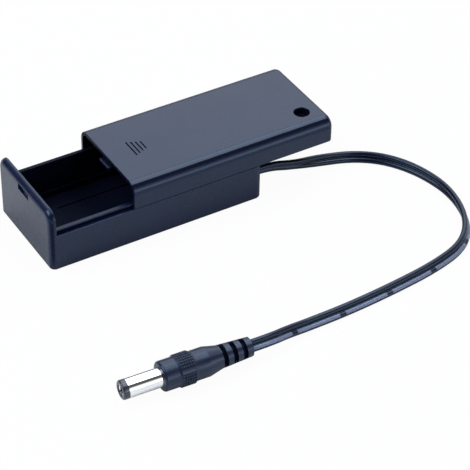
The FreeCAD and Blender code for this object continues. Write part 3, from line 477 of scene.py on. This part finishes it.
# %% Plastics of the case, the board and the switch
NAVY_BLACK = (0.004, 0.007, 0.034)
# The paler edge colour of the case stands for rubbing and for a painted highlight.
NAVY_WEAR_AND_HIGHLIGHT = (0.018, 0.023, 0.054)
finish(
    "case_plastic", NAVY_BLACK, NAVY_WEAR_AND_HIGHLIGHT, (0.25, 0.29), 9000.0, 0.08,
    tint=COOL, wear_and_highlight=0.25,
)
# The core finish is matte, and its darker colour is painted shade for the recesses it goes on.
finish(
    "core_plastic", (0.002, 0.003, 0.012), (0.008, 0.011, 0.028), (0.58, 0.70), 5000.0, 0.35,
    tint=COOL, level=0.12,
)
finish(
    "rail_plastic", NAVY_BLACK, NAVY_WEAR_AND_HIGHLIGHT, (0.30, 0.36), 9000.0, 0.08,
    tint=COOL, wear_and_highlight=0.25, level=0.26,
)
finish(
    "board_laminate", (0.30, 0.16, 0.06), (0.42, 0.27, 0.13), (0.45, 0.60), 5000.0, 0.30,
)
finish(
    "switch_phenolic", (0.22, 0.11, 0.045), (0.33, 0.20, 0.10), (0.40, 0.55), 5000.0, 0.30,
)
print(len(finishes), "plastics")

# %% Metals of the contacts and the switch
finish(
    "snap_nickel", (0.72, 0.70, 0.66), (0.85, 0.84, 0.82), (0.16, 0.28), 3000.0, 0.10,
    metallic=1.0,
)
finish(
    "contact_tin", (0.62, 0.62, 0.60), (0.78, 0.78, 0.77), (0.30, 0.45), 4000.0, 0.25,
    metallic=1.0,
)
finish(
    "switch_steel", (0.55, 0.56, 0.58), (0.72, 0.73, 0.75), (0.28, 0.42), 4000.0, 0.20,
    metallic=1.0,
)
finish(
    "wiper_brass", (0.75, 0.55, 0.25), (0.86, 0.70, 0.42), (0.25, 0.40), 3000.0, 0.15,
    metallic=1.0,
)
finish(
    "solder", (0.66, 0.66, 0.67), (0.80, 0.80, 0.81), (0.20, 0.35), 2500.0, 0.30,
    metallic=1.0,
)
print(len(finishes), "finishes with the metals")

# %% Wires and plug
finish(
    "wire_black", (0.02, 0.02, 0.022), (0.05, 0.05, 0.055), (0.30, 0.42), 5000.0, 0.15,
)
finish(
    "wire_red", (0.42, 0.02, 0.018), (0.55, 0.08, 0.06), (0.30, 0.42), 5000.0, 0.15,
)
finish(
    "plug_grip", (0.013, 0.016, 0.042), (0.032, 0.038, 0.080), (0.28, 0.36), 6000.0, 0.20,
    tint=COOL, level=0.53,
)
# The grip's ground is dull, and its darker colour is painted shade between the dots.
finish(
    "grip_ground", (0.006, 0.008, 0.024), (0.012, 0.015, 0.036), (0.50, 0.60), 6000.0, 0.25,
    tint=COOL, level=0.30,
)
finish(
    "plug_sleeve", (0.93, 0.93, 0.94), (0.95, 0.95, 0.95), (0.04, 0.07), 2500.0, 0.01,
    wear_and_highlight=0.3, metallic=1.0,
)
finish(
    "plug_insulator", (0.030, 0.031, 0.044), (0.07, 0.07, 0.09), (0.22, 0.32), 5000.0, 0.15,
    tint=PALE_COOL, level=0.85,
)
finish(
    "plug_contact", (0.92, 0.92, 0.94), (0.95, 0.95, 0.96), (0.12, 0.20), 2500.0, 0.10,
    metallic=1.0,
)
print(len(finishes), "finishes with wires and plug")


# %% Put a finish on every node of the frame
def dress(thing, material):
    """Give the whole piece one material."""
    thing.data.materials.clear()
    thing.data.materials.append(material)


dressed = [part for part in frame["record"]["subparts"] if part["material_slot"] in finishes]
for part in dressed:
    dress(nodes[part["node"]], finishes[part["material_slot"]])
print("dressed", len(dressed), "of", len(nodes), "pieces")

# %% [markdown]
# ## The inside of the case
#
# The outside of a moulding is formed by a polished cavity, the inside by a core that is only
# machined. So the bay, the cover's inside and the stepped screw hole are matte, and a darker
# colour paints shade into them, so that they look almost black while the outside has a sheen. The
# far rail gets the same matte finish and painted shade, and the cover's beads have dulled the top
# of the near one a little. Each piece is one moulding, so its faces have to be told apart. Picked
# by hand they would be wrong as soon as the frame changed, so each is asked where it lies in the
# piece.

# %% Tell the core side of tray and cover apart
BAY_SIDE = 14.15
TRAY_FLOOR = 0.3
FAR_RAIL_LEVEL, FAR_RAIL_EDGE = 10.0, 0.3
NEAR_RAIL_INSIDE, NEAR_RAIL_TOP = 13.15, 13.1
WALL = 1.0


def box_of(thing):
    """Lowest and highest corner of a piece, in millimetres."""
    corners = [thing.matrix_world @ Vector(corner) / MM for corner in thing.bound_box]
    return [[pick(corner[k] for corner in corners) for k in range(3)] for pick in (min, max)]


tray_low, tray_high = box_of(nodes["tray"])
cover_low, cover_high = box_of(nodes["sliding_cover"])


def between_ends(place):
    """Between the tray's tall front wall and its rear wall."""
    return tray_low[0] + 2 * WALL < place.x < tray_high[0] - WALL


def in_tray(place):
    """Inside the bay, or on the far rail, which get the matte core finish and its painted shade."""
    in_bay = abs(place.y) < BAY_SIDE and place.z > TRAY_FLOOR
    on_rail = BAY_SIDE < place.y < tray_high[1] - FAR_RAIL_EDGE and place.z > FAR_RAIL_LEVEL
    return between_ends(place) and (in_bay or on_rail)


def on_near_rail(place):
    """On the top of the near rail, which the cover's bead has dulled a little."""
    return between_ends(place) and place.y < -NEAR_RAIL_INSIDE and place.z > NEAR_RAIL_TOP


def in_cover(place):
    """Under the cover's roof and between its walls, or down in the screw hole."""
    return (
        cover_low[0] + WALL / 2 < place.x < cover_high[0] - WALL
        and cover_low[1] + WALL < place.y < cover_high[1] - WALL
        and place.z < cover_high[2] - WALL / 2
    )


print("tray from", [round(v, 1) for v in tray_low], "to", [round(v, 1) for v in tray_high])


# %% Give those faces their finish
def refinish(thing, is_there, finish_name):
    """Put a finish on the faces whose centre passes the test, and count them."""
    thing.data.materials.append(finishes[finish_name])
    slot_index = len(thing.data.materials) - 1
    faces = 0
    for face in thing.data.polygons:
        if is_there(thing.matrix_world @ face.center / MM):
            face.material_index = slot_index
            faces += 1
    return faces


# The matte core finish paints shade into the bay, the far rail, the cover's inside and the screw
# hole.
print("tray:", refinish(nodes["tray"], in_tray, "core_plastic"), "matte faces")
print("tray:", refinish(nodes["tray"], on_near_rail, "rail_plastic"), "dulled faces")
print("cover:", refinish(nodes["sliding_cover"], in_cover, "core_plastic"), "matte faces")

# %% [markdown]
# ## The dark parts of the plug's grip
#
# The slots of the strain relief are so narrow that hardly any light comes out of them, and they
# get the core's darker colour as painted shade. The ground between the dots of the grip is dull
# beside the shiny dots, and a darker colour paints shade into it. The plug lies askew on the
# table, so a place is first put into the plug's own three directions. Then the slots are a
# stretch along the axis and a largest radius, and the band's ground is a stretch and an angle.

# %% Slots and band in the plug's own directions
PLUG_TIP = Vector((-43.47, -73.41, 4.45))
PLUG_AXIS = Vector((0.99838, -0.05687, 0.0))
PLUG_UP = Vector((0.0, 0.0, 1.0))
PLUG_SIDE = PLUG_AXIS.cross(PLUG_UP)
SLOTS_START, SLOTS_END = 29.0, 38.0
SLOT_TOP_RADIUS = 2.66
BAND_START, BAND_END = 16.3, 20.5
STRIP_ANGLE, STRIP_HALF = 34.0, 9.0
HALF_TURN = 180


def on_plug(place):
    """A place as the plug sees it: along its axis, to its side and up."""
    return [(place - PLUG_TIP).dot(way) for way in (PLUG_AXIS, PLUG_SIDE, PLUG_UP)]


def in_slots(place):
    """Down in the slots of the strain relief."""
    along, side, up = on_plug(place)
    return SLOTS_START < along < SLOTS_END and math.hypot(side, up) < SLOT_TOP_RADIUS


def on_band(place):
    """On the ground between the band's dots, but not on the smooth strips."""
    along, side, up = on_plug(place)
    from_strip = math.degrees(math.atan2(up, side)) - STRIP_ANGLE
    from_strip = (from_strip + HALF_TURN / 2) % HALF_TURN - HALF_TURN / 2
    return BAND_START < along < BAND_END and abs(from_strip) > STRIP_HALF


# Both finishes below paint shade: into the slots, and between the dots.
print("grip:", refinish(nodes["plug_grip"], in_slots, "core_plastic"), "faces in the slots")
print("grip:", refinish(nodes["plug_grip"], on_band, "grip_ground"), "faces of dull ground")

# %% [markdown]
# ## The lead's insulation
#
# The insulation is glossy and bluish black. On the near wire a pale stripe marks the polarity. It
# was printed by a wheel, so it is broken by a short gap at every turn of the wheel. A picture of
# the print would blur when seen close. The lead's map runs along its length one way and round
# its outline the other, so two masks, one from each direction, draw the stripe sharp at any
# size, just where the printing wheel would.

# %% Mark the polarity stripe
STRIPE_CENTRE, STRIPE_HALF, STRIPE_SOFT = 0.9235, 0.0615, 0.008
GAP_FIRST, GAP_PITCH, GAP_LENGTH, GAP_SOFT = 11.8, 16.3, 2.1, 0.12
STRIPE_COLOUR = (0.20, 0.24, 0.36, 1.0)


def window(tree, source, centre, half, soft):
    """1 where the value is within half of the centre, 0 outside, with a soft edge."""
    away = calc(tree, "ABSOLUTE", calc(tree, "SUBTRACT", source, centre))
    return map_range(tree, away, half - soft, half + soft, 1.0, 0.0)


def make_lead_finish():
    """Glossy insulation with a pale stripe that is broken by gaps at an even pitch."""
    material = finish(
        "lead_black", (0.003, 0.005, 0.022), (0.020, 0.026, 0.050), (0.18, 0.26), 5000.0, 0.08,
        tint=COOL, level=0.42,
    )
    tree = material.node_tree
    base = tree.nodes["Principled BSDF"].inputs["Base Color"]
    plain = base.links[0].from_socket
    along, around, _ = parts_of(tree, add(tree, "UVMap", uv_map=LEAD_MAP).outputs["UV"])
    stripe = window(tree, around, STRIPE_CENTRE, STRIPE_HALF, STRIPE_SOFT)
    far_mm = calc(tree, "MULTIPLY_ADD", along, lead_far[-1] / MM, -GAP_FIRST)
    from_gap = calc(tree, "WRAP", far_mm, GAP_PITCH / 2, -GAP_PITCH / 2)
    gap = window(tree, from_gap, 0.0, GAP_LENGTH / 2, GAP_SOFT)
    printed = calc(tree, "MULTIPLY", stripe, calc(tree, "SUBTRACT", 1.0, gap))
    tree.links.new(mixed(tree, printed, plain, STRIPE_COLOUR), base)
    return material


dress(twin_lead, make_lead_finish())
print("stripe gaps every", GAP_PITCH, "mm")

# %% [markdown]
# ## The dots of the plug's grip
#
# Fingers pull on the plug by a band of small raised dots. They stand in two patches with a smooth
# strip between them where the two halves of the mould met. A bump would leave the band's outline
# smooth, and there are too many dots for the frame to hold. They are one moulding with the grip,
# so one mesh of low domes on the band's own radius is enough. The dots are set out by angle
# round the plug's axis and by distance along it, in the way a toolmaker would mark them on the
# mould. The frame lays the band itself on the table, so the dots underneath, which would reach
# into the table, are left out.

# %% Set out the dots
BAND_RADIUS = 4.45
DOT_FIRST, DOT_PITCH, DOT_COLUMNS = 16.62, 0.71, 6
ROW_FIRST, ROW_STEP, ROWS = 16.0, 10.6, 15
DOT_PROFILE = ((0.31, -0.08), (0.29, 0.09), (0.22, 0.17))
DOT_TOP = 0.20
DOT_SIDES = 8


def add_dome(mesh, foot, out, round_way):
    """One low dome that stands on its foot, from its rings up to its crown."""
    rings = []
    for radius, height in DOT_PROFILE:
        ring = []
        for side in range(DOT_SIDES):
            turn = 2 * math.pi * side / DOT_SIDES
            sideways = PLUG_AXIS * math.cos(turn) + round_way * math.sin(turn)
            ring.append(mesh.verts.new((foot + out * height + sideways * radius) * MM))
        rings.append(ring)
    crown = mesh.verts.new((foot + out * DOT_TOP) * MM)
    for side in range(DOT_SIDES):
        beside = (side + 1) % DOT_SIDES
        for low, high in zip(rings, rings[1:]):
            mesh.faces.new((low[side], low[beside], high[beside], high[side]))
        mesh.faces.new((rings[-1][side], rings[-1][beside], crown))


def make_dots():
    """Low domes in rows round the band, in two patches half a turn apart."""
    mesh = bmesh.new()
    dots = 0
    for patch, row, column in itertools.product((0, HALF_TURN), range(ROWS), range(DOT_COLUMNS)):
        angle = math.radians(STRIP_ANGLE + patch + ROW_FIRST + ROW_STEP * row)
        out = PLUG_SIDE * math.cos(angle) + PLUG_UP * math.sin(angle)
        round_way = PLUG_UP * math.cos(angle) - PLUG_SIDE * math.sin(angle)
        foot = PLUG_TIP + PLUG_AXIS * (DOT_FIRST + DOT_PITCH * column) + out * BAND_RADIUS
        if (foot + out * DOT_TOP).z >= DOT_TOP:
            add_dome(mesh, foot, out, round_way)
            dots += 1
    for face in mesh.faces:
        face.smooth = True
    bmesh.ops.recalc_face_normals(mesh, faces=mesh.faces)
    return as_piece("grip_dots", mesh), dots


grip_dots, dot_count = make_dots()
dress(grip_dots, finishes["plug_grip"])
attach(grip_dots, "case")
print("grip:", dot_count, "dots")

# %% [markdown]
# ## Lamps
#
# Smooth black plastic shows a lamp as a pale patch with the lamp's own outline, so small lamps
# would leave hard spots on it. Four large soft boxes give broad, even sheens instead. The key
# light is up to the left, a second box far behind gives the top its even sheen, one overhead
# fills it, and a low weak one to the front right keeps the near side from going black. Lamps and
# table are placed in metres.

# %% Four soft boxes
DAYLIGHT = (0.91, 0.95, 1.0)
SKYLIGHT = (0.87, 0.93, 1.0)
MIDDLE = Vector((0.01, -0.03, 0.01))
LAMPS = {
    "key_box": ((-0.60, 0.15, 0.78), (0.70, 0.70), 7.6, SKYLIGHT),
    "sheen_box": ((0.45, 0.68, 0.76), (1.00, 0.75), 3.2, DAYLIGHT),
    "overhead_box": ((0.46, 0.02, 1.03), (1.00, 0.46), 4.6, DAYLIGHT),
    "front_box": ((0.45, -1.05, 0.22), (1.10, 0.28), 2.2, DAYLIGHT),
}


def soft_box(name, place, sides, power, colour):
    """A rectangular lamp at a place, turned to face the middle of the object."""
    lamp = bpy.data.lights.new(name, "AREA")
    lamp.shape = "RECTANGLE"
    lamp.size, lamp.size_y = sides
    lamp.energy = power
    lamp.color = colour
    holder = placed(name, lamp)
    holder.location = place
    holder.rotation_euler = (MIDDLE - Vector(place)).to_track_quat("-Z", "Y").to_euler()


for name, numbers in LAMPS.items():
    soft_box(name, *numbers)
print(len(LAMPS), "soft boxes")

# %% [markdown]
# ## The studio as a world
#
# The photograph is a catalogue cut-out on white, so the camera sees a white world. What the
# glossy plastic sees is another matter. The bright sleeve of the plug shows the studio in its
# reflection: white low in front, a dark part higher up where the camera stood, white overhead,
# and a dark line at the far horizon. The same order gives the rounded edges of the case their
# light and dark lines. A picture of a real studio could stand for it, but a ramp over the angle,
# from the near horizon up, overhead and down to the far one, can be read and changed. The left
# side of the studio is dark. Little of all this lights the object, which is left to the lamps.

# %% The world
STUDIO_RAMP = (
    (0.0, 1.0),
    (0.17, 1.0),
    (0.21, 0.10),
    (0.35, 0.10),
    (0.42, 1.0),
    (0.91, 1.0),
    (0.935, 0.3),
    (1.0, 0.3),
)
DIFFUSE_SHARE = 0.15
LEFT_START, LEFT_END, LEFT_LEVEL = -0.35, 0.10, 0.1


def make_world():
    """White to the camera; to the object a studio with a darker part on the camera's side."""
    world = bpy.data.worlds.new("studio")
    bpy.context.scene.world = world
    world.use_nodes = True
    tree = world.node_tree
    across, away, above = parts_of(tree, add(tree, "TexCoord").outputs["Generated"])
    angle = calc(tree, "ARCTAN2", above, calc(tree, "MULTIPLY", away, -1.0))
    ramp = add(tree, "ValToRGB")
    tree.links.new(map_range(tree, angle, 0.0, math.pi, 0.0, 1.0), ramp.inputs["Fac"])
    stops = ramp.color_ramp.elements
    while len(stops) < len(STUDIO_RAMP):
        stops.new(1.0)
    for stop, (where, level) in zip(stops, STUDIO_RAMP):
        stop.position = where
        stop.color = (level, level, level, 1.0)
    sideways = map_range(tree, across, LEFT_START, LEFT_END, LEFT_LEVEL, 1.0)
    studio = calc(tree, "MULTIPLY", ramp.outputs["Color"], sideways)
    rays = add(tree, "LightPath").outputs
    mirrored = calc(tree, "MAXIMUM", rays["Is Glossy Ray"], rays["Is Transmission Ray"])
    share = map_range(tree, mirrored, 0.0, 1.0, DIFFUSE_SHARE, 1.0)
    strength = calc(tree, "MAXIMUM", calc(tree, "MULTIPLY", studio, share), rays["Is Camera Ray"])
    sky = tree.nodes["Background"]
    sky.inputs["Color"].default_value = (*WHITE, 1.0)
    tree.links.new(strength, sky.inputs["Strength"])
    return world


print("world of", len(make_world().node_tree.nodes), "nodes")

# %% [markdown]
# ## The table
#
# The table has to look white to the camera and still keep a faint shadow, so a little of a plain
# pale surface is mixed under a glow. Reflections see far less of that glow, because a white table
# would otherwise wash out the sides of the black case. The near corner of the case mirrors the
# table in front of it, so a dark patch painted into the table, which only reflections see, gives
# that corner a painted dark line in its reflection.

# %% The table and its painted dark patch
TABLE_HALF, TABLE_CELLS = 3.0, 8
TABLE_GAP = 0.05 * MM
TABLE_COLOUR = (0.9, 0.9, 0.9, 1.0)
TABLE_ROUGHNESS = 0.9
GLOW_SEEN, GLOW_MIRRORED = 0.96, 0.12
# The dark patch below paints shade into what the case's near corner reflects; only reflections see
# it.
SHADE_PATCH_X, SHADE_PATCH_HALF_X = -0.0580, 0.0225
SHADE_PATCH_Y, SHADE_PATCH_HALF_Y = -0.0325, 0.0155
SHADE_PATCH_SOFT, SHADE_PATCH_STRENGTH = 0.0015, 0.85


def painted_shade_share(tree, mirrored):
    """Above 0 on the painted dark patch by the case's near corner, and for reflections alone."""
    across, away, _ = parts_of(tree, add(tree, "NewGeometry").outputs["Position"])
    in_width = window(tree, across, SHADE_PATCH_X, SHADE_PATCH_HALF_X, SHADE_PATCH_SOFT)
    in_depth = window(tree, away, SHADE_PATCH_Y, SHADE_PATCH_HALF_Y, SHADE_PATCH_SOFT)
    on_shade_patch = calc(tree, "MULTIPLY", in_width, in_depth)
    return calc(tree, "MULTIPLY", calc(tree, "MULTIPLY", on_shade_patch, mirrored), SHADE_PATCH_STRENGTH)


def blended(tree, share, first, second):
    """One shader that fades to another by a share from 0 to 1."""
    node = add(tree, "MixShader")
    for term, socket in zip((share, first, second), node.inputs):
        tree.links.new(term, socket)
    return node.outputs["Shader"]


def make_table_finish():
    """A pale surface under a glow, and the painted dark patch over both, for reflections alone."""
    material, tree, shader = new_material("table_white")
    shader.inputs["Base Color"].default_value = TABLE_COLOUR
    shader.inputs["Roughness"].default_value = TABLE_ROUGHNESS
    shader.inputs["Specular IOR Level"].default_value = 0.0
    glow = add(tree, "Emission", Strength=1.0).outputs["Emission"]
    shade_patch = add(tree, "Emission", Strength=0.0).outputs["Emission"]
    rays = add(tree, "LightPath").outputs
    in_mirrors = calc(tree, "MULTIPLY", rays["Is Glossy Ray"], GLOW_MIRRORED)
    share = calc(tree, "MULTIPLY_ADD", rays["Is Camera Ray"], GLOW_SEEN, in_mirrors)
    table = blended(tree, share, shader.outputs["BSDF"], glow)
    whole = blended(tree, painted_shade_share(tree, rays["Is Glossy Ray"]), table, shade_patch)
    tree.links.new(whole, tree.nodes["Material Output"].inputs["Surface"])
    return material


mesh = bmesh.new()
bmesh.ops.create_grid(mesh, x_segments=TABLE_CELLS, y_segments=TABLE_CELLS, size=TABLE_HALF)
table = as_piece("table", mesh)
table.location.z = -TABLE_GAP
dress(table, make_table_finish())
print("table:", 2 * TABLE_HALF, "m wide")
